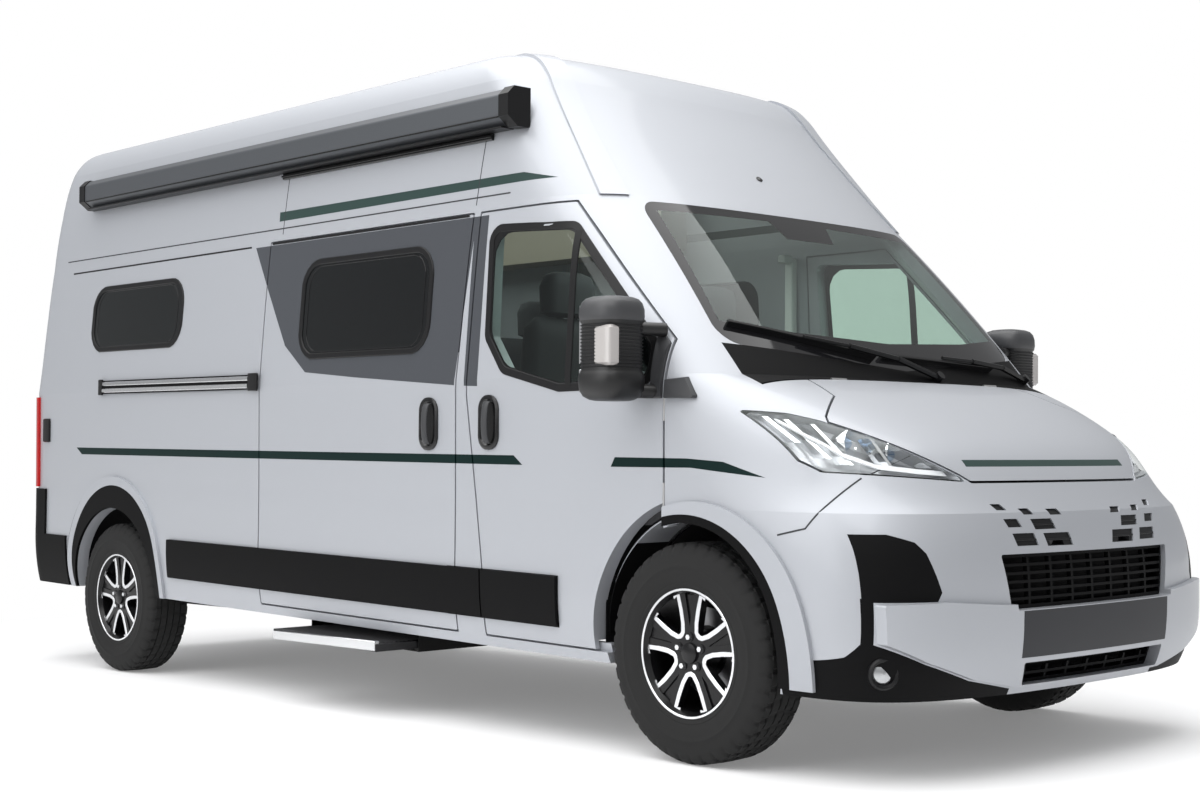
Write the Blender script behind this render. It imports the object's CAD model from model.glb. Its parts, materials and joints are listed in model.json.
import bpy
import bmesh
import functools
import json
import math
from mathutils import Matrix, Vector
from mathutils.bvhtree import BVHTree


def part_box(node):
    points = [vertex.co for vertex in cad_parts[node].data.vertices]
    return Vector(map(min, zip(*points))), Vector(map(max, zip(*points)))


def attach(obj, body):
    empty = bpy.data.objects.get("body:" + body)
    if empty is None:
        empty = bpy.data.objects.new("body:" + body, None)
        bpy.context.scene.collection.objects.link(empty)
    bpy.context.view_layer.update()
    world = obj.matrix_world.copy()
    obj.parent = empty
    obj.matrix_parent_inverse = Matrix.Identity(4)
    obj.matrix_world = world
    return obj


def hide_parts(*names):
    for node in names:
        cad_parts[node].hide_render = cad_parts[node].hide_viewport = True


# Camper van: looks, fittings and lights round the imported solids.
# Metres, in the row's frame. Places on the body are given as (across, along, up):
# across is X, along runs rearwards from the front axle and up from the ground, before
# the body's slight nose-down rake is applied.

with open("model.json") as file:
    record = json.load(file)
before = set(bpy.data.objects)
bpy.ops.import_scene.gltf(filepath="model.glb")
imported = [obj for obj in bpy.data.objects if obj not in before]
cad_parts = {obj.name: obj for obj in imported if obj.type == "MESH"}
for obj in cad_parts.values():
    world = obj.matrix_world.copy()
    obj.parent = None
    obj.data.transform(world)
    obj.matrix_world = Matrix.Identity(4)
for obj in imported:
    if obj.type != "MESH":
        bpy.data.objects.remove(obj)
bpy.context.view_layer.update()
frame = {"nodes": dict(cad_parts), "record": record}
nodes = frame["nodes"]

RAKE = math.radians(1.42)
FRONT_AXLE = sum(corner[1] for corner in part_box("tyre_front_right")) / 2
WHEELBASE = 4.035
HALF_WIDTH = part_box("side_panel_left")[1][0]
RIGHT = -1
LEFT = 1
BODY = Matrix.Translation((0, FRONT_AXLE, 0)) @ Matrix.Rotation(RAKE, 4, "X")

# Places measured in the photograph, seen from the side
CAB_GLASS = [(0.171, 1.279), (0.646, 1.271), (0.966, 1.343), (1.073, 1.472), (1.089, 1.891), (0.625, 1.866),
             (0.171, 1.416)]
CAB_GLASS_CLEAR = [(0.190, 1.298), (0.644, 1.290), (0.956, 1.360), (1.054, 1.480), (1.069, 1.872),
                   (0.632, 1.848), (0.190, 1.404)]
ARCH_UP = 0.385
ARCH_LINER = 0.452
FIELD_HEAD = 1.945


def rounded(points, radius, steps=6):
    """Closed outline with its corners rounded, as a list of points."""
    result = []
    count = len(points)
    for index, point in enumerate(points):
        here = Vector(point)
        before = Vector(points[index - 1]) - here
        after = Vector(points[(index + 1) % count]) - here
        angle = before.angle(after)
        reach = min(radius / math.tan(angle / 2), before.length * 0.45, after.length * 0.45)
        size = reach * math.tan(angle / 2)
        start = here + before.normalized() * reach
        end = here + after.normalized() * reach
        centre = here + (before.normalized() + after.normalized()).normalized() * math.hypot(reach, size)
        for step in range(steps + 1):
            share = step / steps
            spoke = (start - centre).lerp(end - centre, share)
            result.append(tuple(centre + spoke.normalized() * size))
    return result


# Materials

def put(socket, value):
    """Sets an input, or links it where the value is a node or one of its outputs."""
    if isinstance(value, bpy.types.Node):
        value = value.outputs[0]
    if isinstance(value, bpy.types.NodeSocket):
        socket.id_data.links.new(value, socket)
    elif isinstance(value, tuple) and socket.type == "RGBA":
        socket.default_value = (*value, 1)
    else:
        socket.default_value = value


def wire(thing, *values, **named):
    """Fills the inputs of a node, in order or by name."""
    for socket, value in zip(thing.inputs, values):
        put(socket, value)
    for name, value in named.items():
        put(thing.inputs[name.replace("_", " ")], value)
    return thing


def node(tree, kind, *values, **named):
    return wire(tree.nodes.new("ShaderNode" + kind), *values, **named)


def reckon(tree, operation, *values):
    made = node(tree, "Math", *values)
    made.operation = operation
    return made.outputs[0]


def new_material(name):
    material = bpy.data.materials.new(name)
    material.use_nodes = True
    return material, material.node_tree.nodes["Principled BSDF"]


def add_grain(shader, scale, strength, depth):
    tree = shader.id_data
    noise = node(tree, "TexNoise", node(tree, "TexCoord").outputs["Object"], Scale=scale)
    put(shader.inputs["Normal"], node(tree, "Bump", Strength=strength, Distance=depth,
                                      Height=noise.outputs["Fac"]))


def plain(name, colour, roughness, metallic=0.0, coat=0.0, grain=0.0, grain_scale=400.0, shine=0.5):
    """A plain material with a little grain in its surface."""
    material, shader = new_material(name)
    wire(shader, Base_Color=colour, Roughness=roughness, Metallic=metallic, Specular_IOR_Level=shine,
         Coat_Weight=coat, Coat_Roughness=0.05)
    if grain:
        add_grain(shader, grain_scale, grain, 0.001)
    return material


class Masks:
    """Builds masks in a material from places on the body, in metres."""

    def __init__(self, material):
        self.tree = material.node_tree
        turn = self.tree.nodes.new("ShaderNodeMapping")
        turn.vector_type = "TEXTURE"
        wire(turn, Vector=node(self.tree, "TexCoord").outputs["Object"], Location=(0, FRONT_AXLE, 0),
             Rotation=(RAKE, 0, 0))
        self.across, self.along, self.up = node(self.tree, "SeparateXYZ", turn).outputs
        self.aside = self.math("ABSOLUTE", self.across)

    def math(self, operation, *values):
        return reckon(self.tree, operation, *values)

    def both(self, *masks):
        return functools.reduce(lambda first, second: self.math("MULTIPLY", first, second), masks)

    def either(self, *masks):
        return functools.reduce(lambda first, second: self.math("MAXIMUM", first, second), masks)

    def without(self, mask):
        return self.math("SUBTRACT", 1.0, mask)

    def over(self, value, limit):
        return self.math("GREATER_THAN", value, limit)

    def under(self, value, limit):
        return self.math("LESS_THAN", value, limit)

    def within(self, value, low, high):
        return self.both(self.over(value, low), self.under(value, high))

    def left_of(self, level, first, second):
        """1 on the left of the line from first to second, in the plane of level and up."""
        run = second[0] - first[0]
        rise = second[1] - first[1]
        along = self.math("MULTIPLY", level, -rise)
        up = self.math("MULTIPLY", self.up, run)
        offset = -(run * first[1] - rise * first[0])
        return self.over(self.math("ADD", self.math("ADD", along, up), offset), 0.0)

    def inside(self, level, points):
        """1 inside a convex outline of (level, up) points, anticlockwise."""
        pairs = zip(points, points[1:] + points[:1])
        return self.both(*[self.left_of(level, first, second) for first, second in pairs])

    def from_side(self, points):
        return self.inside(self.along, points)

    def from_front(self, points):
        return self.inside(self.aside, points)

    def disc(self, along, up, radius):
        a = self.math("SUBTRACT", self.along, along)
        u = self.math("SUBTRACT", self.up, up)
        square = self.math("ADD", self.math("MULTIPLY", a, a), self.math("MULTIPLY", u, u))
        return self.under(square, radius * radius)

    def blend(self, factor, first, second):
        """Colour or number: first where the factor is 0, second where it is 1."""
        if not isinstance(second, tuple):
            difference = self.math("SUBTRACT", second, first)
            return self.math("ADD", first, self.math("MULTIPLY", factor, difference))
        mix = self.tree.nodes.new("ShaderNodeMix")
        mix.data_type = "RGBA"
        for index, value in ((0, factor), (6, first), (7, second)):
            put(mix.inputs[index], value)
        return mix.outputs[2]


SILVER = (0.40, 0.415, 0.445)
GRAPHITE = (0.060, 0.064, 0.072)
STRIPE_GREEN = (0.003, 0.014, 0.013)
UPPER_STRIPE = (0.030, 0.052, 0.048)
BLACK = (0.003, 0.003, 0.0033)
CAP_GREY = (0.040, 0.041, 0.044)
CAB_TINT = (0.80, 0.88, 0.84)


def side_marks(masks):
    """Stripes and the dark field round the sliding door's window."""
    right = masks.under(masks.across, -HALF_WIDTH * 0.5)
    side = masks.over(masks.aside, HALF_WIDTH * 0.5)
    green = masks.both(side, masks.either(
        masks.from_side([(0.85, 0.989), (4.40, 0.989), (4.459, 1.024), (0.90, 1.024)]),
        masks.from_side([(-0.02, 0.993), (0.371, 0.990), (0.350, 1.024), (0.0, 1.024)]),
        masks.from_side([(-0.329, 0.966), (-0.02, 0.993), (0.0, 1.024), (-0.16, 1.015)])))
    upper = masks.both(side, masks.from_side([(0.76, 2.058), (2.62, 2.050), (2.62, 2.092), (0.93, 2.092)]))
    dark = masks.either(
        masks.from_side([(1.261, 1.291), (1.937, 1.336), (2.314, 1.366), (2.492, 1.489), (2.600, FIELD_HEAD),
                         (1.190, FIELD_HEAD)]),
        masks.from_side([(2.490, 1.489), (2.802, FIELD_HEAD), (2.590, FIELD_HEAD)]),
        masks.from_side([(1.118, 1.285), (1.200, 1.288), (1.200, FIELD_HEAD), (1.118, FIELD_HEAD)]))
    return green, upper, masks.both(right, masks.under(masks.up, FIELD_HEAD), dark)


def bumper_marks(masks):
    """Black corner pockets and lower edge of the front bumper."""
    nose = masks.under(masks.along, -0.40)
    pocket = masks.from_front([(0.955, 0.590), (0.952, 0.797), (0.879, 0.798), (0.812, 0.774),
                               (0.786, 0.740), (0.750, 0.620), (0.765, 0.592)])
    strip = masks.either(
        masks.from_front([(0.934, 0.30), (0.985, 0.30), (0.985, 0.40), (0.958, 0.46), (0.934, 0.46)]),
        masks.from_front([(0.934, 0.455), (0.957, 0.455), (0.957, 0.602), (0.934, 0.602)]))
    lower = [
        masks.from_front([(0.43, 0.20), (0.63, 0.20), (0.63, 0.340), (0.43, 0.300)]),
        masks.from_front([(0.63, 0.20), (0.80, 0.20), (0.80, 0.400), (0.63, 0.340)]),
        masks.from_front([(0.80, 0.20), (0.936, 0.20), (0.936, 0.462), (0.80, 0.400)]),
        masks.from_front([(0.93, 0.20), (1.10, 0.20), (1.10, 0.418), (0.975, 0.420), (0.93, 0.450)])]
    return masks.both(nose, masks.either(pocket, strip, *lower))


def make_paint():
    """Silver paint with its flakes, stripes, dark field, black bumper parts and door strips."""
    material, shader = new_material("body_paint")
    masks = Masks(material)
    green, upper, dark = side_marks(masks)
    bonnet_line = masks.both(masks.under(masks.aside, 0.475), masks.under(masks.along, -0.60),
                             masks.within(masks.up, 1.006, 1.028))
    door_strips = masks.both(
        masks.over(masks.aside, HALF_WIDTH * 0.5),
        masks.from_side([(0.646, 0.405), (1.30, 0.405), (1.30, 0.593), (0.646, 0.593)]))
    black = masks.either(bumper_marks(masks), door_strips)
    marks = masks.either(dark, green, upper, bonnet_line, black)
    colour = masks.blend(dark, SILVER, GRAPHITE)
    colour = masks.blend(green, colour, STRIPE_GREEN)
    colour = masks.blend(masks.either(upper, bonnet_line), colour, UPPER_STRIPE)
    wire(shader, Base_Color=masks.blend(black, colour, BLACK), Metallic=masks.blend(marks, 0.40, 0.0),
         Roughness=masks.blend(black, masks.blend(marks, 0.48, 0.36), 0.55),
         Specular_IOR_Level=masks.blend(marks, 0.5, 0.09), Coat_Weight=masks.blend(marks, 0.30, 0.0),
         Coat_Roughness=0.10)
    add_grain(shader, 2500.0, 0.02, 0.0004)
    return material


def make_glass(name, tint, opacity, roughness=0.0):
    """Thin glass: tinted see-through with a mirror-like surface at grazing angles."""
    material = bpy.data.materials.new(name)
    material.use_nodes = True
    tree = material.node_tree
    tree.nodes.clear()
    dark = node(tree, "BsdfDiffuse", (0.006, 0.006, 0.007))
    body = node(tree, "MixShader", opacity, node(tree, "BsdfTransparent", tint), dark)
    gloss = node(tree, "BsdfGlossy", Color=(0.9, 0.95, 0.93), Roughness=roughness)
    front = reckon(tree, "SUBTRACT", 1.0, node(tree, "NewGeometry").outputs["Backfacing"])
    share = reckon(tree, "MULTIPLY", node(tree, "Fresnel", IOR=1.45), front)
    node(tree, "OutputMaterial", node(tree, "MixShader", share, body, gloss))
    return material


def make_trim_mix():
    """Arch trims in body colour, liners, strips and rail in black, on one node."""
    material, shader = new_material("side_trim")
    masks = Masks(material)
    trims = masks.either(masks.disc(-0.045, 0.387, 0.5), masks.disc(WHEELBASE, 0.387, 0.5))
    liners = masks.either(masks.disc(0.0, ARCH_UP, ARCH_LINER), masks.disc(WHEELBASE, ARCH_UP, ARCH_LINER))
    strip = masks.both(masks.within(masks.up, 0.40, 0.60), masks.within(masks.along, 0.6, 3.49))
    silver = masks.both(trims, masks.without(liners), masks.without(strip))
    wire(shader, Base_Color=masks.blend(silver, BLACK, SILVER), Metallic=masks.blend(silver, 0.0, 0.40),
         Roughness=masks.blend(silver, 0.55, 0.50), Specular_IOR_Level=masks.blend(silver, 0.08, 0.5))
    return material


def two_tone(name, roughness, first, second, where):
    """Plain material with its second colour where the mask holds."""
    material, shader = new_material(name)
    masks = Masks(material)
    wire(shader, Base_Color=masks.blend(where(masks), first, second), Roughness=roughness)
    return material


def make_cab_glass_finish():
    """Side glass of the cab with its black printed border and round corners."""
    material = make_glass("cab_glass", CAB_TINT, 0.04)
    masks = Masks(material)
    clear = masks.from_side(rounded(CAB_GLASS_CLEAR, 0.09, 4))
    print_over(material, masks.without(clear), (0.004, 0.004, 0.0045), 0.3)
    return material


def lay_over(material, mask, cover):
    """Mixes a second shader over a material's own where the mask is 1."""
    tree = material.node_tree
    surface = next(item for item in tree.nodes if item.type == "OUTPUT_MATERIAL").inputs["Surface"]
    put(surface, node(tree, "MixShader", mask, surface.links[0].from_socket, cover))


def print_over(material, mask, colour, roughness):
    lay_over(material, mask, node(material.node_tree, "BsdfPrincipled", Base_Color=colour,
                                  Roughness=roughness, Specular_IOR_Level=0.3))


def make_windscreen_finish():
    """Cab glass with its black printed border and sensor field."""
    material = make_glass("windscreen_glass", CAB_TINT, 0.04)
    masks = Masks(material)
    clear = masks.from_front([(-0.10, 1.445), (0.50, 1.470), (0.805, 1.500), (0.725, 1.925), (-0.10, 1.935)])
    sensors = masks.from_front([(-0.2, 1.860), (0.135, 1.860), (0.185, 1.97), (-0.2, 1.97)])
    print_over(material, masks.either(masks.without(clear), sensors), (0.008, 0.008, 0.009), 0.06)
    return material


def make_lamp_finish():
    """Clear covers in front, red lamps behind."""
    material = make_glass("lamp_cover_clear", (0.97, 0.98, 0.98), 0.02)
    masks = Masks(material)
    print_over(material, masks.over(masks.along, 2.0), (0.42, 0.010, 0.010), 0.08)
    return material


MATERIALS = {
    "body_paint": make_paint(),
    "cab_glass": make_cab_glass_finish(),
    "tinted_glass": make_glass("tinted_glass", (0.05, 0.05, 0.055), 0.65),
    "black_trim": plain("black_trim", BLACK, 0.55, grain=0.25, shine=0.09),
    "lamp_cover": make_lamp_finish(),
    "awning_paint": plain("awning_paint", (0.085, 0.091, 0.100), 0.42, metallic=0.5),
    "chassis_steel": plain("chassis_steel", (0.006, 0.006, 0.006), 0.7, grain=0.2, grain_scale=60.0,
                           shine=0.2),
    "wheel_alloy": plain("wheel_black", (0.005, 0.005, 0.0055), 0.25, shine=0.3),
    "tyre_rubber": plain("tyre_rubber", (0.016, 0.016, 0.017), 0.72, grain=0.15, shine=0.25),
    "cabin_plastic": plain("cabin_plastic", (0.018, 0.018, 0.020), 0.6, grain=0.2),
    "seat_fabric": plain("seat_fabric", (0.030, 0.030, 0.034), 0.9, grain=0.6, grain_scale=900.0),
    "furniture_wood": two_tone("furniture_finish", 0.45, (0.36, 0.31, 0.25), (0.010, 0.010, 0.011),
                               lambda masks: masks.under(masks.along, 1.5)),
    "tank_plastic": plain("tank_plastic", (0.008, 0.008, 0.008), 0.6, shine=0.2),
    "step_metal": plain("step_metal", (0.03, 0.03, 0.032), 0.5, metallic=0.4),
    "hinge_steel": plain("hinge_steel", (0.5, 0.5, 0.5), 0.3, metallic=1.0),
}
MIRROR_FINISH = two_tone("mirror_finish", 0.42, BLACK, CAP_GREY, lambda masks: masks.over(masks.up, 1.486))
INDICATOR = plain("indicator_lens", (0.42, 0.40, 0.39), 0.12, coat=0.6)
TURNED = plain("turned_alloy", (0.80, 0.81, 0.83), 0.22, metallic=0.9)
CHROME = plain("chrome", (0.85, 0.86, 0.87), 0.06, metallic=1.0)
BRAKE_IRON = plain("brake_iron", (0.32, 0.32, 0.33), 0.32, metallic=1.0)
GREY_CAP = plain("grey_cap", CAP_GREY, 0.45, grain=0.2, shine=0.3)
SEAL = plain("seal", (0.005, 0.005, 0.0055), 0.40, shine=0.25)
SEAM = plain("seam", (0.03, 0.032, 0.035), 0.8)
LIGHT_BAR = plain("light_bar", (0.85, 0.86, 0.88), 0.15, coat=0.8)
LAMP_GLASS = make_glass("lamp_glass", (0.80, 0.88, 0.97), 0.03)
TREAD = plain("tread_rubber", (0.015, 0.015, 0.015), 0.80, grain=0.35, grain_scale=250.0, shine=0.25)
CLOTH = plain("seat_cloth", (0.020, 0.021, 0.024), 0.95, grain=0.5, grain_scale=900.0)
PLATE_FIELD = plain("plate_field", (0.030, 0.031, 0.035), 0.50, shine=0.25)
ALUMINIUM = plain("aluminium", (0.72, 0.73, 0.74), 0.25, metallic=1.0)
PALE_PLASTIC = plain("pale_plastic", (0.70, 0.72, 0.70), 0.5)
DARK_GLOSS = plain("dark_gloss", (0.006, 0.006, 0.0065), 0.15, shine=0.4)
FOG_GLASS = plain("fog_reflector", (0.45, 0.46, 0.47), 0.28, metallic=1.0)
RIB = plain("ribbed_plastic", (0.012, 0.012, 0.013), 0.5, shine=0.3)


def paint_nodes():
    own = {"side_mouldings": make_trim_mix(), "windscreen": make_windscreen_finish(),
           "mirror_right": MIRROR_FINISH, "mirror_left": MIRROR_FINISH}
    for item in frame["record"]["subparts"]:
        name = item["node"]
        finishes = nodes[name].data.materials
        finishes.clear()
        finishes.append(own.get(name, MATERIALS[item["material_slot"]]))


paint_nodes()


# Shapes

def at(across, along, up):
    """Point in the row's frame of a place on the body."""
    return BODY @ Vector((across, along, up))


class Skin:
    """Outer surface of some nodes, to set pieces on, in the body's own directions."""

    def __init__(self, *names):
        back = BODY.inverted()
        points = []
        faces = []
        for name in names:
            mesh = nodes[name].data
            start = len(points)
            points += [back @ vertex.co for vertex in mesh.vertices]
            faces += [[start + index for index in face.vertices] for face in mesh.polygons]
        self.tree = BVHTree.FromPolygons(points, faces)

    def hit(self, start, direction):
        place, normal, _, _ = self.tree.ray_cast(Vector(start), Vector(direction))
        if place is None:
            return None
        if normal.dot(Vector(direction)) > 0:
            normal = -normal
        return place, normal

    def side(self, side, along, up):
        return self.hit((side * 3, along, up), (-side, 0, 0))

    def front(self, across, up):
        return self.hit((across, -3, up), (0, 1, 0))

    def rear(self, across, up):
        return self.hit((across, 8, up), (0, -1, 0))

    def top(self, across, along):
        return self.hit((across, along, 4), (0, 0, -1))


class Shape:
    """Points and faces of one joined mesh, in the body's directions unless told otherwise."""

    def __init__(self):
        self.points = []
        self.faces = []

    def add(self, points, faces):
        start = len(self.points)
        self.points += [Vector(point) for point in points]
        self.faces += [[start + index for index in face] for face in faces]

    def rings(self, rings, closed=False, capped=True):
        """Skin over rings with the same number of points."""
        count = len(rings[0])
        total = len(rings)
        faces = []
        for ring in range(total if closed else total - 1):
            here = ring * count
            after = (ring + 1) % total * count
            for index in range(count):
                beside = (index + 1) % count
                faces.append([here + index, here + beside, after + beside, after + index])
        if capped and not closed:
            faces.append(list(range(count))[::-1])
            faces.append([(total - 1) * count + index for index in range(count)])
        self.add([point for ring in rings for point in ring], faces)

    def stack(self, across, along, levels):
        """Form through level outlines, each (up, half across, half along, corner)."""
        self.rings([[Vector((across + x, along + y, up)) for x, y in rounded_box(*size)]
                    for up, *size in levels])

    def box(self, low, high, edge=0.0):
        middle = (Vector(low) + Vector(high)) / 2
        half = (Vector(high) - Vector(low)) / 2
        self.stack(middle.x, middle.y, [
            (middle.z + level * (half.z - edge + inset), half.x - inset, half.y - inset, edge - inset)
            for level, inset in ((-1, edge), (-1, 0), (1, 0), (1, edge))])

    def rod(self, start, end, radius, sides=16):
        start = Vector(start)
        end = Vector(end)
        turn = (end - start).to_track_quat("Z", "Y")
        circle = [turn @ Vector((radius * math.cos(angle), radius * math.sin(angle), 0))
                  for angle in angles(sides)]
        self.rings([[place + spoke for spoke in circle] for place in (start, end)])

    def bead(self, path, width, height, closed=False, sunk=0.001):
        """Flat strip along (place, normal) pairs on a surface."""
        rings = []
        count = len(path)
        soft = min(height, width / 4) * 0.6
        for index, (place, normal) in enumerate(path):
            before = path[(index - 1) % count if closed else max(index - 1, 0)][0]
            after = path[(index + 1) % count if closed else min(index + 1, count - 1)][0]
            aside = normal.cross(after - before).normalized()
            edge = aside * (width / 2)
            inner = aside * (width / 2 - soft)
            foot = place - normal * sunk
            shoulder = place + normal * (height - soft)
            top = place + normal * height
            rings.append([foot - edge, shoulder - edge, top - inner, top + inner, shoulder + edge,
                          foot + edge])
        self.rings(rings, closed=closed)

    def patch(self, grid, thickness):
        """Sheet over a grid of (place, normal) pairs, thickened inwards."""
        rows = len(grid)
        columns = len(grid[0])
        outer = [place for row in grid for place, normal in row]
        inner = [place - normal * thickness for row in grid for place, normal in row]
        total = rows * columns
        faces = []
        for row in range(rows - 1):
            for column in range(columns - 1):
                index = row * columns + column
                corners = [index, index + 1, index + columns + 1, index + columns]
                faces += [corners, [total + corner for corner in reversed(corners)]]
        edge = ([column for column in range(columns)]
                + [row * columns + columns - 1 for row in range(1, rows)]
                + [(rows - 1) * columns + column for column in range(columns - 2, -1, -1)]
                + [row * columns for row in range(rows - 2, 0, -1)])
        faces += [[second, first, total + first, total + second]
                  for first, second in zip(edge, edge[1:] + edge[:1])]
        self.add(outer + inner, faces)

    def lathe(self, profile, centre, axis, steps=64):
        """Closed section of (out along the axis, radius) pairs turned round an axis."""
        turn = Vector(axis).to_track_quat("Z", "Y")
        rings = []
        for angle in angles(steps):
            spoke = Vector((math.cos(angle), math.sin(angle), 0))
            rings.append([Vector(centre) + turn @ (spoke * radius + Vector((0, 0, out)))
                          for out, radius in profile])
        self.rings(rings, closed=True)

    def piece(self, name, material, body="root", slot="black_trim", in_row=False, crease=35.0):
        """Makes the mesh, hangs it on its body and names the slot it stands for."""
        mesh = bpy.data.meshes.new(name)
        points = self.points if in_row else [BODY @ point for point in self.points]
        mesh.from_pydata([tuple(point) for point in points], [], self.faces)
        form = bmesh.new()
        form.from_mesh(mesh)
        bmesh.ops.remove_doubles(form, verts=form.verts, dist=1e-6)
        bmesh.ops.recalc_face_normals(form, faces=form.faces)
        form.to_mesh(mesh)
        form.free()
        mesh.shade_smooth()
        mesh.set_sharp_from_angle(angle=math.radians(crease))
        mesh.materials.append(material)
        thing = add_thing(name, mesh)
        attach(thing, body)
        return thing


def add_thing(name, data):
    thing = bpy.data.objects.new(name, data)
    bpy.context.collection.objects.link(thing)
    return thing


def beads(name, material, runs, **where):
    """One piece of flat strips, each given as (path, width, height) and whether it is closed."""
    shape = Shape()
    for run in runs:
        shape.bead(*run)
    return shape.piece(name, material, **where)


def boxes(name, material, sizes, **where):
    """One piece of boxes, each given as (low, high, edge)."""
    shape = Shape()
    for size in sizes:
        shape.box(*size)
    return shape.piece(name, material, **where)


def turned(name, material, profile, centre, axis, steps, **where):
    shape = Shape()
    shape.lathe(profile, centre, axis, steps)
    return shape.piece(name, material, **where)


def angles(count, start=0.0, sweep=2 * math.pi):
    return [start + sweep * index / count for index in range(count)]


def rounded_box(half_x, half_y, radius, steps=4):
    """Outline of a rectangle with round corners."""
    points = []
    for sign_x, sign_y, start in ((1, 1, 0), (-1, 1, 90), (-1, -1, 180), (1, -1, 270)):
        for step in range(steps + 1):
            angle = math.radians(start + 90 * step / steps)
            points.append((sign_x * (half_x - radius) + radius * math.cos(angle),
                           sign_y * (half_y - radius) + radius * math.sin(angle)))
    return points


def dense(points, spacing, closed=False):
    """Points added along a path so that none are further apart than the spacing."""
    result = []
    pairs = list(zip(points, points[1:] + (points[:1] if closed else [])))
    for first, second in pairs:
        first = Vector(first)
        second = Vector(second)
        count = max(1, int(math.ceil((second - first).length / spacing)))
        result += [first.lerp(second, step / count) for step in range(count)]
    if not closed:
        result.append(Vector(points[-1]))
    return result


def on_side(skin, side, points):
    found = [skin.side(side, along, up) for along, up in points]
    return [pair for pair in found if pair]


SIDE_NAMES = {RIGHT: "right", LEFT: "left"}
SKIN_SIDES = {
    RIGHT: Skin("side_panel_right", "sliding_door", "cab_door_right", "front_wings", "front_bumper"),
    LEFT: Skin("side_panel_left", "cab_door_left", "front_wings", "front_bumper"),
}
ROOF_SKIN = Skin("high_roof")
NOSE_SKIN = Skin("front_bumper", "bonnet", "front_wings")


# Wheels

SPOKE_FACE = 0.083
BOLTS = 5
TREAD_DEPTH = 0.008
WHEELS = [(end, side) for end in ("front", "rear") for side in (RIGHT, LEFT)]


def wheel_centre(end, side):
    low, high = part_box(f"tyre_{end}_{SIDE_NAMES[side]}")
    return (low + high) / 2


def tyre_section():
    """Half section from the bead to the middle of the tread, as (out, radius, groove) steps."""
    wall = [(0.080, 0.2075), (0.094, 0.213), (0.101, 0.222), (0.1045, 0.232), (0.1035, 0.236),
            (0.109, 0.252), (0.1125, 0.272), (0.1128, 0.286), (0.1142, 0.289), (0.1142, 0.293),
            (0.1126, 0.296), (0.1105, 0.315), (0.1085, 0.328)]
    shoulder = [(0.1070, 0.335), (0.1020, 0.348), (0.0965, 0.3585), (0.0880, 0.3655), (0.0790, 0.3690)]
    tread = []
    ribs = [(0.0790, 0.0550), (0.0490, 0.0200), (0.0140, 0.0)]
    for number, (outer, inner) in enumerate(ribs):
        tread += [(outer, 0.3700 + 0.0010 * number, 2 + number),
                  (inner, 0.3705 + 0.0007 * number, 2 + number)]
        if inner > 0:
            depth = 0.3700 - TREAD_DEPTH
            tread += [(inner - 0.0005, depth, 0), (inner - 0.0055, depth, 0)]
    return [(*place, 0) for place in wall] + [(*place, 1) for place in shoulder] + tread


def make_tyre(end, side):
    """Road tyre with ribs, cross grooves and wall rings."""
    half = tyre_section()
    section = half + [(-out, radius, groove) for out, radius, groove in reversed(half[:-1])]
    centre = wheel_centre(end, side)
    rings = []
    steps = 320
    for step in range(steps):
        angle = 2 * math.pi * step / steps
        ring = []
        for out, radius, groove in section:
            shift = step + (2 if out < 0 else 0) + groove * 2
            cut = groove > 0 and shift % 8 < 2
            if groove == 1:
                cut = cut and radius > 0.340
            depth = TREAD_DEPTH * (0.45 if groove > 2 else 0.8)
            size = radius - (depth if cut else 0.0)
            ring.append(centre + Vector((side * out, size * math.cos(angle), size * math.sin(angle))))
        rings.append(ring)
    shape = Shape()
    shape.rings(rings, closed=True)
    name = f"{end}_{SIDE_NAMES[side]}"
    tyre = shape.piece(f"road_tyre_{name}", TREAD, f"wheel_{name}", "tyre_rubber", in_row=True, crease=30.0)
    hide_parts(f"tyre_{name}")


def wheel_point(centre, side, out, radius, angle):
    return centre + Vector((side * out, radius * math.sin(angle), radius * math.cos(angle)))


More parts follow.
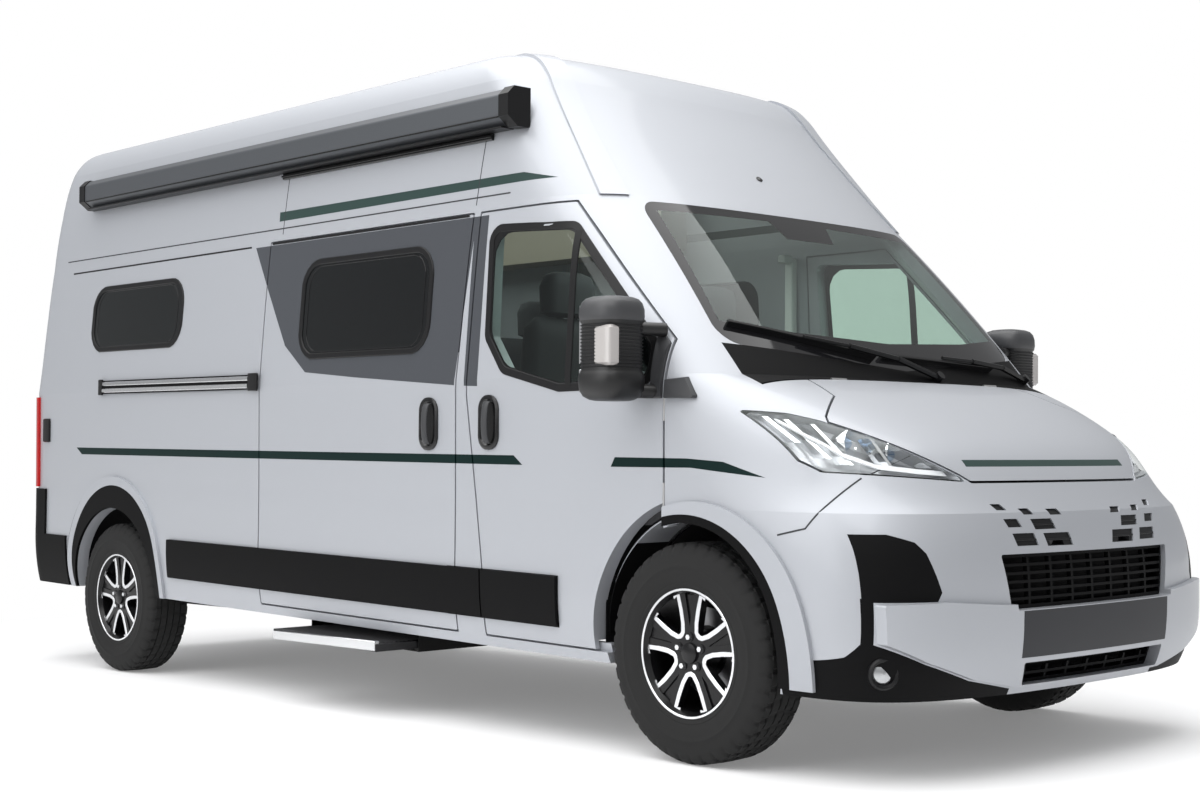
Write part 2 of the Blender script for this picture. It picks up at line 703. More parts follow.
def make_wheel_dress(end, side):
    """Polished edges round the five openings, lip ring, bolts, bare cap and brake face."""
    centre = wheel_centre(end, side)
    name = f"{end}_{SIDE_NAMES[side]}"
    axis = Vector((side, 0, 0))
    bright = Shape()
    bright.lathe([(0.1000, 0.2090), (0.1012, 0.2100), (0.1012, 0.2165), (0.1000, 0.2175)], centre, axis, 96)
    dark = Shape()
    for number in range(BOLTS):
        middle = math.radians(36 + 72 * number)
        half_path = [(0.1985, 14.0), (0.1990, 20.5), (0.1500, 20.5), (0.1050, 18.5), (0.0760, 11.5),
                     (0.0700, 3.0)]
        path = [(radius, middle - math.radians(lean)) for radius, lean in half_path]
        path += [(radius, middle + math.radians(lean)) for radius, lean in reversed(half_path)]
        bright.bead([(wheel_point(centre, side, SPOKE_FACE, *place), axis) for place in path], 0.0165, 0.0016)
        spoke = math.radians(72 * number)
        web = [wheel_point(centre, side, SPOKE_FACE - 0.006, radius, spoke + math.radians(lean))
               for radius, lean in ((0.060, -12), (0.198, -10), (0.198, 10), (0.060, 12))]
        dark.rings([web, [point - axis * 0.02 for point in web]])
        bolt = wheel_point(centre, side, SPOKE_FACE, 0.054, spoke)
        bright.rod(bolt, bolt + axis * 0.012, 0.0095, 6)
        dark.lathe([(-0.001, 0.0125), (-0.001, 0.0160), (0.003, 0.0160), (0.003, 0.0125)], bolt, axis, 20)
    dark.lathe([(-0.002, 0.001), (-0.002, 0.036), (0.008, 0.034), (0.0105, 0.028), (0.011, 0.001)],
               centre + axis * SPOKE_FACE, axis, 40)
    brake = Shape()
    brake.lathe([(-0.004, 0.088), (-0.004, 0.148), (-0.0025, 0.148), (-0.0025, 0.088)], centre, axis, 64)
    for part, shape, finish in (("wheel_bright", bright, TURNED),
                                ("wheel_webs", dark, MATERIALS["wheel_alloy"]),
                                ("brake_face", brake, BRAKE_IRON)):
        shape.piece(f"{part}_{name}", finish, f"wheel_{name}", "wheel_alloy", in_row=True)


for wheel_end, wheel_side in WHEELS:
    make_tyre(wheel_end, wheel_side)
    make_wheel_dress(wheel_end, wheel_side)


# Side: windows, handles, seams, rail

SLIDE_WINDOW = [(1.450, 1.432), (2.371, 1.432), (2.371, 1.844), (1.450, 1.844)]
REAR_WINDOW = [(3.425, 1.525), (4.334, 1.525), (4.334, 1.841), (3.425, 1.841)]
WINDOW_CORNER = 0.115


def inset_outline(points, distance):
    middle = sum((Vector(point) for point in points), Vector((0, 0))) / len(points)
    return [tuple(Vector(point) + (middle - Vector(point)).normalized() * distance) for point in points]


def make_windows():
    """Frames round the four habitation windows, each with its proud inner pane edge."""
    for side in (RIGHT, LEFT):
        doors = ["sliding_door"] if side == RIGHT else []
        skin = Skin("side_windows", "side_panel_" + SIDE_NAMES[side], *doors)
        for name, corners in (("slide", SLIDE_WINDOW), ("rear", REAR_WINDOW)):
            for part, finish, inset, corner, width, height in (
                    ("frame", SEAL, 0.0, WINDOW_CORNER, 0.026, 0.006),
                    ("edge", DARK_GLOSS, 0.048, WINDOW_CORNER * 0.8, 0.006, 0.002)):
                outline = dense(rounded(inset_outline(corners, inset), corner), 0.06, closed=True)
                beads(f"window_{part}_{name}_{SIDE_NAMES[side]}", finish,
                      [(on_side(skin, side, outline), width, height, True)])


def make_cab_glass_seals():
    outline = dense(rounded(CAB_GLASS, 0.055), 0.04, closed=True)
    bar = dense([(0.604, 1.842), (0.596, 1.274)], 0.05)
    for side in (RIGHT, LEFT):
        door = "cab_door_" + SIDE_NAMES[side]
        skin = Skin(door, "cab_door_glass_" + SIDE_NAMES[side])
        beads("glass_seal_" + SIDE_NAMES[side], SEAL,
              [(on_side(skin, side, outline), 0.030, 0.003, True), (on_side(skin, side, bar), 0.034, 0.004)],
              body=door)


HANDLE_HALF = (0.060, 0.104)


def make_handle(name, side, along, up, body):
    """Upright oval dish with a grip across its front edge."""
    place = SKIN_SIDES[side].side(side, along, up)[0]
    out = Vector((side, 0, 0))
    half_along, half_up = HANDLE_HALF
    dish = Shape()
    rings = []
    for depth, grow in ((-0.010, 0.0), (0.005, 0.0), (0.009, -0.006), (0.009, -0.016), (0.003, -0.022)):
        outline = rounded_box(half_along + grow, half_up + grow, (half_along + grow) * 0.9, 8)
        rings.append([place + out * depth + Vector((0, a, u)) for a, u in outline])
    dish.rings(rings)
    dish.piece(f"handle_dish_{name}", DARK_GLOSS, body)
    grip = Shape()
    rings = []
    for step in range(13):
        angle = math.pi * step / 12
        point = (place + Vector((0, -0.012, half_up * 0.78 * math.cos(angle)))
                 + out * (0.004 + 0.030 * math.sin(angle) ** 0.5))
        rings.append([point + Vector((side * 0.007 * math.cos(turn), 0.017 * math.sin(turn), 0))
                      for turn in angles(14)])
    grip.rings(rings)
    grip.piece(f"handle_grip_{name}", GREY_CAP, body)


ROOF_SEAMS = [([(1.205, 1.99), (1.165, 2.262)], 0.04, 0.005, 0.0004),
              ([(2.585, 1.99), (2.560, 2.262)], 0.04, 0.005, 0.0004),
              ([(1.00, 2.020), (4.70, 2.012)], 0.10, 0.006, 0.0008)]
FRONT_SEAMS = [([(-0.400, 0.786), (-0.500, 0.810), (-0.621, 0.990), (-0.640, 1.040)], 0.03, 0.006, 0.0012)]
GUTTER_TRIMS = [([(1.24, 1.952), (2.66, 1.952)], 0.08, 0.010, 0.002),
                ([(2.84, 1.950), (4.62, 1.944)], 0.08, 0.008, 0.0015)]


def make_body_lines():
    """Dark joints of the roof and beside the bumper, and black strips over the doors."""
    walls = {side: Skin("high_roof", "side_panel_" + SIDE_NAMES[side]) for side in (RIGHT, LEFT)}
    for name, skins, finish, slot, lines in (("roof_seams", walls, SEAM, "body_paint", ROOF_SEAMS),
                                             ("front_seams", SKIN_SIDES, SEAM, "body_paint", FRONT_SEAMS),
                                             ("gutter_trims", SKIN_SIDES, SEAL, "black_trim", GUTTER_TRIMS)):
        beads(name, finish, [(on_side(skins[side], side, dense(points, spacing)), width, height)
                             for side in (RIGHT, LEFT) for points, spacing, width, height in lines],
              slot=slot)


RAIL = (2.675, 4.175, 1.3315)


def make_rail():
    """Bright double rail of the sliding door in its black channel, on the right side only."""
    start, end, up = RAIL
    skin = Skin("side_panel_right", "side_mouldings")
    paths = [on_side(skin, RIGHT, dense([(start + 0.075, level), (end - 0.03, level)], 0.15))
             for level in (up - 0.017, up + 0.017)]
    beads("slide_rail_bright", ALUMINIUM, [(path, 0.020, 0.005) for path in paths])
    ends = []
    for low, high in ((start - 0.005, start + 0.070), (end - 0.030, end + 0.010)):
        across = skin.side(RIGHT, (low + high) / 2, up)[0].x
        ends.append(((across - 0.006, low, up - 0.040), (across + 0.004, high, up + 0.040), 0.003))
    boxes("slide_rail_ends", SEAL, ends)


make_windows()
make_cab_glass_seals()
make_handle("cab_right", RIGHT, 1.047, 1.147, "cab_door_right")
make_handle("cab_left", LEFT, 1.047, 1.147, "cab_door_left")
make_handle("slide", RIGHT, 1.422, 1.142, "root")
make_body_lines()
make_rail()


# Mirrors

MIRROR_OUT = (1.062, 1.262)
MIRROR_ALONG = (0.120, 0.310)
MIRROR_RIBS = 13
MIRROR_BASE = [(0.115, 1.226), (0.165, 1.226), (0.165, 1.470), (0.115, 1.416)]
MIRROR_FOOT = [(-0.040, 1.226), (0.097, 1.226), (0.097, 1.395)]
MIRROR_LEVELS = [(1.215, 0.50), (1.219, 0.68), (1.230, 0.86), (1.252, 0.97), (1.280, 1.0), (1.302, 0.99),
                 (1.312, 0.94), (1.318, 0.91), (1.476, 0.91), (1.482, 0.96), (1.500, 0.99), (1.525, 0.98),
                 (1.546, 0.92), (1.560, 0.80), (1.567, 0.62), (1.570, 0.40)]


def mirror_outline(share, steps=40):
    """Section of the housing seen from above: square behind, round in front."""
    points = []
    for angle in angles(steps):
        across = math.cos(angle)
        along = math.sin(angle)
        power = 0.45 if along > 0 else 0.78
        points.append((share * 0.100 * math.copysign(abs(across) ** 0.55, across),
                       share * 0.095 * math.copysign(abs(along) ** power, along)))
    return points


def make_mirror_dress(side):
    """Housing with its ribbed belt, two arms, clear indicator, glasses and base plate of one mirror."""
    name = SIDE_NAMES[side]
    body = "cab_door_" + name
    out = Vector((side, 0, 0))
    front, rear = MIRROR_ALONG
    across = side * (MIRROR_OUT[0] + MIRROR_OUT[1]) / 2

    def level(up, share):
        return [Vector((across + x, (front + rear) / 2 + y, up)) for x, y in mirror_outline(share)]

    housing = Shape()
    housing.rings([level(up, share) for up, share in MIRROR_LEVELS])
    for up in (1.250, 1.462):
        housing.rod((side * 0.985, 0.140, up), (side * 1.090, 0.185, up), 0.024, 16)
    shell = housing.piece("mirror_housing_" + name, MIRROR_FINISH, body, crease=50.0)
    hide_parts("mirror_" + name)
    ribs = Shape()
    for number in range(MIRROR_RIBS):
        up = 1.328 + 0.0115 * number
        ribs.rings([level(up + rise, share)
                    for rise, share in ((0.0, 0.905), (0.0015, 0.945), (0.0045, 0.945), (0.006, 0.905))])
    ribs.piece("mirror_ribs_" + name, RIB, body)
    lamp_x = side * (MIRROR_OUT[1] - 0.030)
    boxes("mirror_indicator_" + name, INDICATOR,
          [((lamp_x - 0.024, front + 0.008, 1.332), (lamp_x + 0.024, front + 0.09, 1.468), 0.010)],
          body=body, slot="lamp_cover")
    boxes("mirror_glass_" + name, CHROME,
          [((across - 0.066, rear - 0.016, low), (across + 0.066, rear + 0.001, high), 0.001)
           for low, high in ((1.342, 1.538), (1.245, 1.322))], body=body)
    skin = Skin(body, "cab_door_glass_" + name, "front_wings", "side_panel_" + name)
    for part, rides_on, plate, heights in (("base", body, MIRROR_BASE, (0.008, 0.012, 0.014)),
                                           ("foot", "root", MIRROR_FOOT, (0.012, 0.020, 0.024))):
        places = [pair[0] for pair in on_side(skin, side, dense(rounded(plate, 0.006), 0.03, closed=True))]
        middle = sum(places, Vector()) / len(places)
        plinth = Shape()
        plinth.rings([[place.lerp(middle, share) + out * height for place in places]
                      for share, height in zip((0.0, 0.0, 0.05, 0.6), (-0.004, *heights))])
        plinth.piece(f"mirror_{part}_{name}", GREY_CAP, rides_on)


for mirror_side in (RIGHT, LEFT):
    make_mirror_dress(mirror_side)


# Front: headlamps, fog lamps, plate field, wipers

LAMP_OUTLINE = [(0.978, 1.184), (0.899, 1.174), (0.840, 1.151), (0.532, 0.975), (0.522, 0.960),
                (0.922, 0.988), (0.950, 1.024), (0.962, 1.098)]


def make_headlamp(side):
    """Reflectors, light bars and fins behind one clear cover."""
    name = SIDE_NAMES[side]
    cover = Skin("lamps")
    middle = (0.760, 1.060)

    def inside(across, up, depth):
        """Place behind the cover, looked for a little further in where the cover is missed."""
        for step in range(12):
            found = cover.front(side * (across + (middle[0] - across) * step * 0.04),
                                up + (middle[1] - up) * step * 0.04)
            if found and found[0].y < 0.5:
                return Vector((side * across, found[0].y + depth, up))
        return Vector((side * across, -0.5, up))

    chrome = Shape()
    glass = Shape()
    axis = (side * -0.25, -1, 0.05)
    for across, up, radius in ((0.675, 1.043, 0.042), (0.785, 1.078, 0.038)):
        centre = inside(across, up, 0.085)
        chrome.lathe([(-0.030, 0.004), (-0.020, radius * 0.6), (0.010, radius), (0.024, radius * 1.18),
                      (0.018, radius * 1.22), (-0.034, radius * 0.7), (-0.040, 0.004)], centre, axis, 40)
        glass.lathe([(-0.012, 0.002), (-0.008, radius * 0.55), (0.004, radius * 0.62), (0.018, radius * 0.45),
                     (0.026, radius * 0.18), (0.027, 0.002)], centre, axis, 32)
    for fin in (((0.590, 1.000), (0.625, 1.060)), ((0.730, 1.000), (0.735, 1.115)),
                ((0.838, 1.010), (0.850, 1.140)), ((0.880, 1.030), (0.900, 1.155)),
                ((0.920, 1.080), (0.935, 1.165))):
        chrome.rings([[inside(a + wide, u, depth)
                       for wide, depth in ((0, 0.026), (0.010, 0.026), (0.010, 0.080), (0, 0.080))]
                      for a, u in fin])
    bar = Shape()
    for path, width in (([(0.560, 0.983), (0.660, 0.990), (0.780, 1.004)], 0.016),
                        ([(0.780, 1.004), (0.850, 1.040), (0.900, 1.105), (0.925, 1.150)], 0.014)):
        bar.rings([[inside(a, u + rise * width / 2, depth)
                    for rise, depth in ((-1, 0.022), (1, 0.022), (1, 0.036), (-1, 0.036))]
                   for a, u in dense(path, 0.02)])
    shell = Shape()
    outline = dense(rounded(LAMP_OUTLINE, 0.012, 3), 0.03, closed=True)
    rings = [[inside(a + (middle[0] - a) * share, u + (middle[1] - u) * share, depth) for a, u in outline]
             for share, depth in ((0.025, 0.006), (0.06, 0.050), (0.25, 0.095), (0.70, 0.115), (0.98, 0.120))]
    for ring, after in zip(rings, rings[1:]):
        shell.rings([ring, after], capped=False)
    for part, shape, finish in (("reflectors", chrome, CHROME), ("lenses", glass, LAMP_GLASS),
                                ("bars", bar, LIGHT_BAR), ("shell", shell, HEADLAMP_SHELL)):
        shape.piece(f"headlamp_{part}_{name}", finish, slot="lamp_cover")


HEADLAMP_SHELL = plain("headlamp_shell", (0.55, 0.56, 0.58), 0.35, metallic=0.7)


def make_fog_lamp(side):
    place = NOSE_SKIN.front(side * 0.905, 0.372)[0]
    axis = (side * 0.62, -1, 0)
    turned("fog_ring_" + SIDE_NAMES[side], SEAL,
           [(-0.030, 0.030), (0.006, 0.036), (0.010, 0.044), (0.004, 0.050), (-0.030, 0.050)],
           place, axis, 40)
    turned("fog_lens_" + SIDE_NAMES[side], FOG_GLASS,
           [(-0.030, 0.001), (-0.030, 0.033), (-0.004, 0.034), (0.002, 0.024), (0.004, 0.001)],
           place, axis, 32, slot="lamp_cover")


def make_plate_field():
    """Bare dark field for the plate on the wing."""
    grid = [[NOSE_SKIN.front(-0.438 + 0.876 * column / 24, 0.402 + 0.150 * row / 8) for column in range(25)]
            for row in range(9)]
    field = Shape()
    field.patch([[(place + normal * 0.0006, normal) for place, normal in row] for row in grid], 0.006)
    field.piece("plate_field", PLATE_FIELD, slot="body_paint")


SLOTS = [(0.146, 0.220, 0.829, 0.848), (0.293, 0.355, 0.832, 0.851), (0.410, 0.468, 0.847, 0.866),
         (0.195, 0.317, 0.785, 0.818), (0.366, 0.444, 0.794, 0.820),
         (0.117, 0.268, 0.732, 0.773), (0.302, 0.420, 0.736, 0.775)]
SLOT_LEAN = 0.014
HALF_BODY = 1.025


def make_slot_fills():
    """Black fills with a small bar in each air slot, set just behind the skin."""
    fills = Shape()
    for shares in SLOTS:
        inner, outer, foot, head = [share * HALF_BODY for share in shares]
        middle = (foot + head) / 2
        for side in (RIGHT, LEFT):
            grid = []
            for up_share in (0.0, 0.5, 1.0):
                up = foot + (head - foot) * up_share
                start = inner + SLOT_LEAN * up_share - 0.004
                end = outer - SLOT_LEAN * (1 - up_share) + 0.004
                grid.append([behind_nose(side * (start + (end - start) * step / 6), up, 0.005)
                             for step in range(7)])
            fills.patch(grid, 0.004)
            if head - foot > 0.03:
                fills.bead([behind_nose(side * (inner + (outer - inner) * step / 6), middle, 0.002)
                            for step in range(7)], 0.006, 0.0015, sunk=0.004)
    fills.piece("slot_fills", SEAL)


def behind_nose(across, up, depth):
    """Place a given depth behind the nose's skin, also where the skin has a slot."""
    for reach in (0.0, 0.012, -0.012, 0.024, -0.024, 0.036, -0.036):
        for drop in (0.0, 0.026, -0.026, 0.040):
            found = NOSE_SKIN.front(across + reach, up + drop)
            if found and abs(found[1].y) > 0.55 and found[0].y < -0.70:
                place, normal = found
                slide = -(normal.x * (across - place.x) + normal.z * (up - place.z)) / normal.y
                return Vector((across, place.y + slide, up)) - normal * depth, normal
    return Vector((across, -0.80, up)), Vector((0, -1, 0))


WIPERS = [((-0.790, 1.485), (-0.160, 1.385), (-0.500, 1.436), (0.150, 1.318)),
          ((-0.110, 1.392), (0.560, 1.365), (0.240, 1.388), (0.800, 1.330))]


def make_wipers():
    """Two parked wipers with arms, blades and pivots."""
    glass = Skin("windscreen", "wiper_cowl", "bonnet", "windscreen_frame")
    wipers = Shape()
    for start, end, joint, pivot in WIPERS:
        blade = [glass.front(across, up) for across, up in dense([start, end], 0.05)]
        wipers.bead([(pair[0] + pair[1] * 0.010, pair[1]) for pair in blade if pair], 0.012, 0.014,
                    sunk=0.012)
        foot, out = glass.front(*pivot)
        middle, lift = glass.front(*joint)
        arm = [foot + out * 0.012, foot.lerp(middle, 0.35) + out * 0.045,
               foot.lerp(middle, 0.7) + out * 0.042, middle + lift * 0.026]
        for first, second, radius in zip(arm, arm[1:], (0.012, 0.010, 0.007)):
            wipers.rod(first, second, radius, 8)
        wipers.rod(foot - out * 0.01, foot + out * 0.030, 0.018, 14)
    wipers.piece("wipers", SEAL)


for lamp_side in (RIGHT, LEFT):
    make_headlamp(lamp_side)
    make_fog_lamp(lamp_side)
make_plate_field()
make_slot_fills()
make_wipers()


# Awning and roof

AWNING_ENDS = (0.95, 4.435)
AWNING_PROFILE = [(-0.922, 2.264), (-0.985, 2.264), (-1.034, 2.302), (-1.034, 2.384), (-1.003, 2.416),
                  (-0.922, 2.416)]


def make_awning_dress():
    """End caps, the lower rail's edge and the short guide rail below the case."""
    front, rear = AWNING_ENDS
    caps = Shape()
    for start, end in ((front - 0.012, front + 0.045), (rear - 0.045, rear + 0.012)):
        caps.rings([[Vector((across, along, up)) for across, up in AWNING_PROFILE] for along in (start, end)])
    caps.piece("awning_caps", SEAL, slot="awning_paint")
    boxes("awning_edges", SEAL, [((-1.0325, front + 0.05, 2.298), (-1.0270, rear - 0.05, 2.304), 0.001),
                                 ((-1.015, front + 0.05, 2.262), (-0.950, rear - 0.05, 2.270), 0.002)],
          slot="awning_paint")
    path = on_side(ROOF_SKIN, RIGHT, dense([(1.12, 2.248), (2.60, 2.248)], 0.12))
    beads("awning_guide", DARK_GLOSS, [(path, 0.026, 0.014), (path, 0.008, 0.020)], slot="awning_paint")


def make_camera_dot():
    place, normal = ROOF_SKIN.front(0.0, 2.132)
    turned("front_camera", DARK_GLOSS, [(-0.004, 0.001), (-0.004, 0.016), (0.004, 0.014), (0.007, 0.001)],
           place, normal, 24)


ROOF_HATCHES = [(-0.20, 1.75, 0.70, 0.50), (0.0, 3.65, 0.50, 0.50)]


HATCH_STEPS = [(0.02, -0.03), (0.02, 0.005), (0.0, 0.009), (-0.03, 0.014), (-0.20, 0.017)]


def make_roof_hatches():
    """Low framed hatches on the roof, hidden in the photograph."""
    for number, (across, along, length, width) in enumerate(ROOF_HATCHES):
        x = width / 2
        y = length / 2
        corners = [(across - x, along - y), (across + x, along - y), (across + x, along + y),
                   (across - x, along + y)]
        height = max(ROOF_SKIN.top(a, s)[0].z for a, s in dense(rounded(corners, 0.06), 0.08, closed=True))
        hatch = Shape()
        hatch.stack(across, along, [(height + up, x + grow, y + grow, 0.05) for grow, up in HATCH_STEPS])
        hatch.piece(f"roof_hatch_{number + 1}", PALE_PLASTIC, slot="body_paint")


make_awning_dress()
make_camera_dot()
make_roof_hatches()


# Step and rear

CLOSING_RADIUS = 0.447
CLOSING_INNER = 0.560


def in_arch(side, across, radius, angle):
    """Place round the front axle, with its angle counted from behind it."""
    return Vector((side * across, radius * math.cos(angle), ARCH_UP + radius * math.sin(angle)))


def make_arch_closings():
    """Black inner ends, flanges and feet of the front wheel arches."""
    arc = [math.radians(-4 + 188 * step / 36) for step in range(37)]
    for side in (RIGHT, LEFT):
        closing = Shape()
        for sweep, inner, outer, low, high in (
                (arc, CLOSING_INNER, 0.790, CLOSING_RADIUS, CLOSING_RADIUS + 0.003),
                (arc[3:-3], 0.800, 0.804, CLOSING_RADIUS, 0.580)):
            section = ((inner, low), (outer, low), (outer, high), (inner, high))
            closing.rings([[in_arch(side, *corner, angle) for corner in section] for angle in sweep])
        closing.rings([[in_arch(side, across, CLOSING_RADIUS, angle) for angle in arc]
                       for across in (CLOSING_INNER, CLOSING_INNER + 0.004)])
        inner, outer = sorted((side * CLOSING_INNER, side * 0.965))
        for along in (CLOSING_RADIUS, -CLOSING_RADIUS - 0.003):
            closing.box((inner, along, 0.300), (outer, along + 0.003, 0.600))
        closing.piece("arch_closing_" + SIDE_NAMES[side], SEAL)


STEP_RIBS = 14


def make_step_dress():
    """Bright front edge and ribs on the step's tread."""
    low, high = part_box("step_tread")
    boxes("step_edge", ALUMINIUM, [((low.x - 0.006, low.y + 0.005, low.z + 0.004),
                                    (low.x + 0.020, high.y - 0.005, high.z - 0.006), 0.003)],
          body="step_tread", slot="step_metal", in_row=True)
    ribs = Shape()
    section = [Vector((x, 0, z))
               for x, z in ((-0.004, -0.003), (0.004, -0.003), (0.003, 0.002), (-0.003, 0.002))]
    for number in range(STEP_RIBS):
        across = low.x + 0.035 + (high.x - low.x - 0.06) * number / (STEP_RIBS - 1)
        ribs.rings([[at(across, along, 0.257) + corner for corner in section] for along in (1.70, 2.41)])
    ribs.piece("step_ribs", MATERIALS["step_metal"], "step_tread", "step_metal", in_row=True)


def make_rear_dress():
    """Door handle, bare plate field, window seals and hinge caps at the back."""
    skins = {side: Skin("rear_door_" + SIDE_NAMES[side], "rear_glass_" + SIDE_NAMES[side])
             for side in (RIGHT, LEFT)}
    for side in (RIGHT, LEFT):
        corners = [(side * across, up)
                   for across, up in ((0.12, 1.16), (0.72, 1.16), (0.70, 1.79), (0.12, 1.79))]
        path = [skins[side].rear(a, u) for a, u in dense(rounded(corners, 0.07), 0.05, closed=True)]
        beads("rear_seal_" + SIDE_NAMES[side], SEAL, [([pair for pair in path if pair], 0.030, 0.003, True)],
              body="rear_door_" + SIDE_NAMES[side])
    skin_y = skins[RIGHT].rear(-0.075, 1.06)[0].y
    boxes("rear_handle", DARK_GLOSS,
          [((-0.105, skin_y - 0.004, 0.96), (-0.045, skin_y + 0.012, 1.14), 0.006),
           ((-0.088, skin_y + 0.006, 0.985), (-0.062, skin_y + 0.028, 1.115), 0.006)],
          body="rear_door_right")
    skin_y = skins[LEFT].rear(0.36, 0.90)[0].y
    boxes("rear_plate_field", PLATE_FIELD,
          [((0.10, skin_y - 0.004, 0.82), (0.63, skin_y + 0.004, 0.95), 0.003)],
          body="rear_door_left", slot="body_paint")
    caps = []
    for side in (RIGHT, LEFT):
        skin_x = SKIN_SIDES[side].side(side, 4.800, 1.110)[0].x
        caps.append(((skin_x - 0.012, 4.765, 1.050), (skin_x + 0.012, 4.835, 1.175), 0.005))
    boxes("rear_hinge_caps", SEAL, caps)


make_arch_closings()
make_step_dress()
make_rear_dress()


# Cab inside

SEAT_PLACE = 0.43
SEAT_HEIGHTS = (0.96, 1.58, 1.77)
BACK_LEVELS = 14


def make_seat(name, across, front, width, depth, seat_up, back_up, head_up):
    """Cushion, leaning back and headrest as soft rounded forms."""
    soft = Shape()
    soft.stack(across, front + depth / 2 + 0.01, [
        (seat_up + up, width / 2 + grow, depth / 2 + grow, 0.06)
        for up, grow in ((-0.14, -0.03), (-0.12, 0.0), (-0.02, 0.0), (0.0, -0.03), (0.004, -0.10))])
    back = front + depth + 0.055
    levels = []
    for level in range(BACK_LEVELS + 1):
        share = level / BACK_LEVELS
        end = level in (0, BACK_LEVELS)
        half = width / 2 * (1 - 0.16 * share ** 2) - (0.04 if end else 0.0)
        thick = 0.062 * (1 - 0.25 * share) - (0.035 if end else 0.0)
        levels.append((seat_up - 0.03 + (back_up - seat_up + 0.03) * share, half, thick, thick * 0.9))
    soft.stack(across, back, levels)
    soft.stack(across, back, [(up, half, thick, thick * 0.9) for up, half, thick in (
        (back_up + 0.005, 0.09, 0.020), (back_up + 0.02, 0.13, 0.045), (head_up - 0.06, 0.135, 0.050),
        (head_up - 0.015, 0.115, 0.040), (head_up, 0.07, 0.020))])
    for place in (across - 0.05, across + 0.05):
        soft.rod((place, back, back_up - 0.04), (place, back, back_up + 0.04), 0.006, 8)
    seat = soft.piece(name, CLOTH, "root", "seat_fabric", crease=50.0)
    return seat


def make_seats():
    for side in (RIGHT, LEFT):
        make_seat("cab_seat_" + SIDE_NAMES[side], side * SEAT_PLACE, 0.72, 0.50, 0.50, *SEAT_HEIGHTS)
    bench = make_seat("bench", 0.482, 1.95, 0.86, 0.50, *SEAT_HEIGHTS)
    bed = boxes("mattress", MATTRESS, [((-0.93, 3.475, 1.131), (0.93, 4.84, 1.238), 0.035)],
                slot="seat_fabric", crease=50.0)
    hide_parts("seat_cushions")


MATTRESS = plain("mattress_cloth", (0.30, 0.31, 0.32), 0.95, grain=0.4, grain_scale=700.0)


def make_cab_details():
    """Pale pillar trims beside the doors and a screen on the dashboard."""
    trims = [((side * across - half, 1.20, low), (side * across + half, 1.245, high), 0.008)
             for side in (RIGHT, LEFT)
             for across, half, low, high in ((0.90, 0.02, 0.60, 1.93), (0.86, 0.03, 1.90, 1.94))]
    boxes("pillar_trims", PALE_PLASTIC, trims, slot="cabin_plastic")
    up = Skin("dashboard").top(0.0, 0.20)[0].z
    boxes("dash_screen", DARK_GLOSS, [((-0.12, 0.20, up - 0.01), (0.12, 0.225, up + 0.13), 0.006)],
          slot="cabin_plastic")


make_seats()
make_cab_details()


# Camera, lights and floor

CAMERA_PLACE = (-5.189, -4.126, 0.979)
CAMERA_YAW = -42.652
CAMERA_PITCH = 2.379
CAMERA_ROLL = -0.503
FOCAL_LENGTH = 52.40
SENSOR_WIDTH = 36.0


def make_camera():
    data = bpy.data.cameras.new("camera")
    data.lens = FOCAL_LENGTH
    data.sensor_width = SENSOR_WIDTH
    data.sensor_fit = "HORIZONTAL"
    data.clip_start = 0.1
    data.clip_end = 200
    camera = add_thing("camera", data)
    bpy.context.scene.camera = camera
    yaw, pitch, roll = [math.radians(angle) for angle in (CAMERA_YAW, CAMERA_PITCH, CAMERA_ROLL)]
    ahead = Vector((-math.sin(yaw) * math.cos(pitch), math.cos(yaw) * math.cos(pitch), math.sin(pitch)))
    right = ahead.cross(Vector((0, 0, 1))).normalized()
    up = right.cross(ahead)
    turn = Matrix((math.cos(roll) * right + math.sin(roll) * up, math.cos(roll) * up - math.sin(roll) * right,
                   -ahead)).transposed().to_4x4()
    camera.matrix_world = Matrix.Translation(Vector(CAMERA_PLACE) + Vector((0, FRONT_AXLE, 0))) @ turn


def make_lamp(name, place, target, size_x, size_y, power):
    data = bpy.data.lights.new(name, "AREA")
    data.shape = "RECTANGLE"
    data.size = size_x
    data.size_y = size_y
    data.energy = power
    lamp = add_thing(name, data)
    lamp.location = place
    lamp.rotation_mode = "QUATERNION"
    lamp.rotation_quaternion = (Vector(target) - Vector(place)).to_track_quat("-Z", "Y")


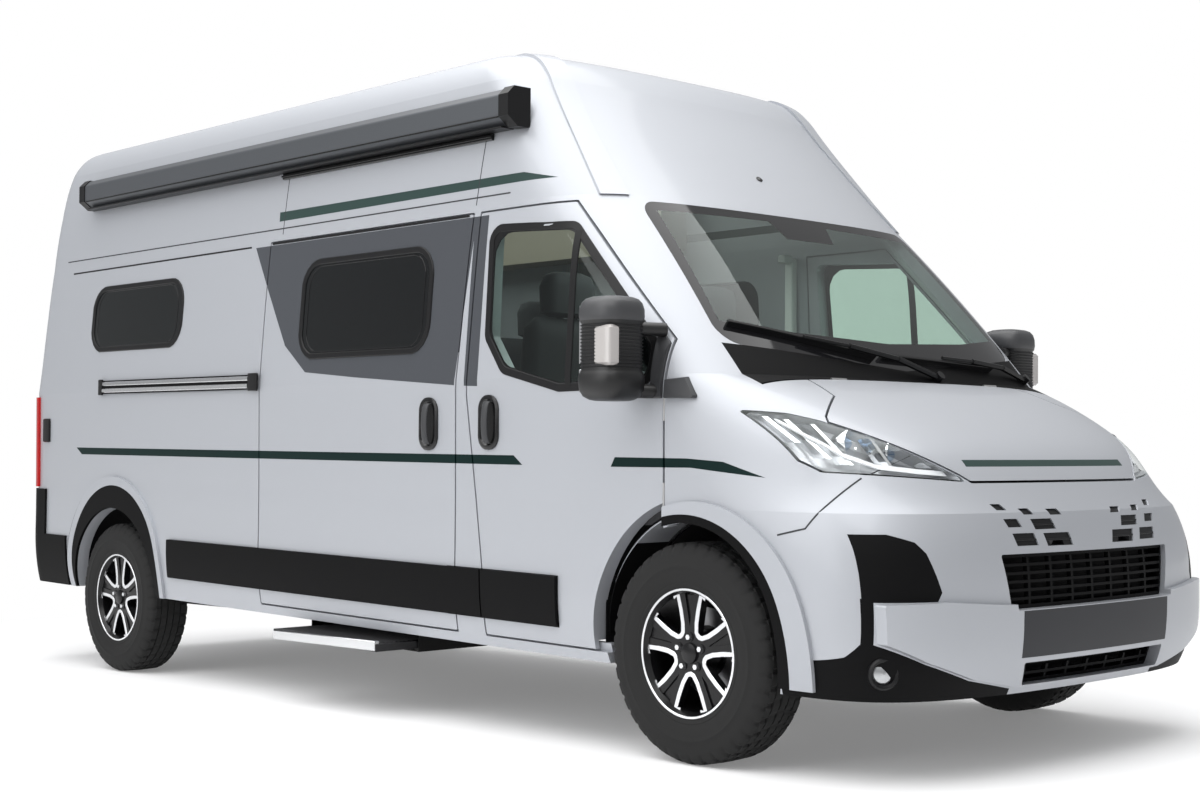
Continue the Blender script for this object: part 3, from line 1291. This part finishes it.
def make_world():
    """White for the camera, a soft sky over a darker horizon for reflections."""
    world = bpy.data.worlds.new("studio")
    bpy.context.scene.world = world
    world.use_nodes = True
    tree = world.node_tree
    tree.nodes.clear()
    parts = node(tree, "SeparateXYZ", node(tree, "TexCoord").outputs["Generated"])
    ramp = node(tree, "ValToRGB", parts.outputs["Z"])
    steps = ramp.color_ramp.elements
    steps[0].color = (0.70, 0.70, 0.71, 1)
    steps[1].color = (1.0, 1.0, 1.0, 1)
    steps[0].position = 0.0
    steps[1].position = 0.75
    steps.new(0.22).color = (0.55, 0.56, 0.58, 1)
    sky = node(tree, "Background", ramp, SKY_LEVEL)
    white = node(tree, "Background", (1, 1, 1), 1.0)
    node(tree, "OutputWorld",
         node(tree, "MixShader", node(tree, "LightPath").outputs["Is Camera Ray"], sky, white))


FLOOR_REACH = 60.0
SKY_LEVEL = 0.62
WHITE_FROM = 3.3
WHITE_AT = 5.4
SHADOW_LIFT = 0.20


def make_floor_finish():
    """Pale floor that fades into the white background away from the van."""
    material, shader = new_material("floor_white")
    tree = material.node_tree
    wire(shader, Base_Color=(0.97, 0.97, 0.975), Roughness=0.7)
    reach = node(tree, "VectorMath", node(tree, "TexCoord").outputs["Object"])
    reach.operation = "LENGTH"
    fade = node(tree, "MapRange", reach.outputs["Value"], From_Min=WHITE_FROM, From_Max=WHITE_AT,
                To_Min=SHADOW_LIFT)
    lay_over(material, fade, node(tree, "Emission", (1, 1, 1), 1.0))
    return material


def make_floor():
    mesh = bpy.data.meshes.new("floor")
    corners = [(-1, -1), (1, -1), (1, 1), (-1, 1)]
    mesh.from_pydata([(x * FLOOR_REACH, y * FLOOR_REACH, 0) for x, y in corners], [], [(0, 1, 2, 3)])
    mesh.materials.append(make_floor_finish())
    floor = add_thing("floor", mesh)


make_camera()
make_world()
make_floor()
make_lamp("overhead", (-1.8, -0.6, 7.5), (0, 0, 0), 11, 13, 1200)
make_lamp("front_fill", (-4.0, -9.0, 4.5), (0, -1.5, 1.2), 7, 5, 45)
make_lamp("side_fill", (-9.5, 1.0, 4.0), (0, 1.0, 1.4), 9, 5, 260)
make_lamp("cab_glow", at(0.0, 0.95, 1.93), at(0.0, 0.9, 0.6), 0.9, 0.5, 8)
make_lamp("room_glow", at(0.0, 2.8, 2.45), at(0.0, 2.8, 0.6), 1.0, 2.2, 16)
bpy.context.scene.view_settings.view_transform = "Standard"
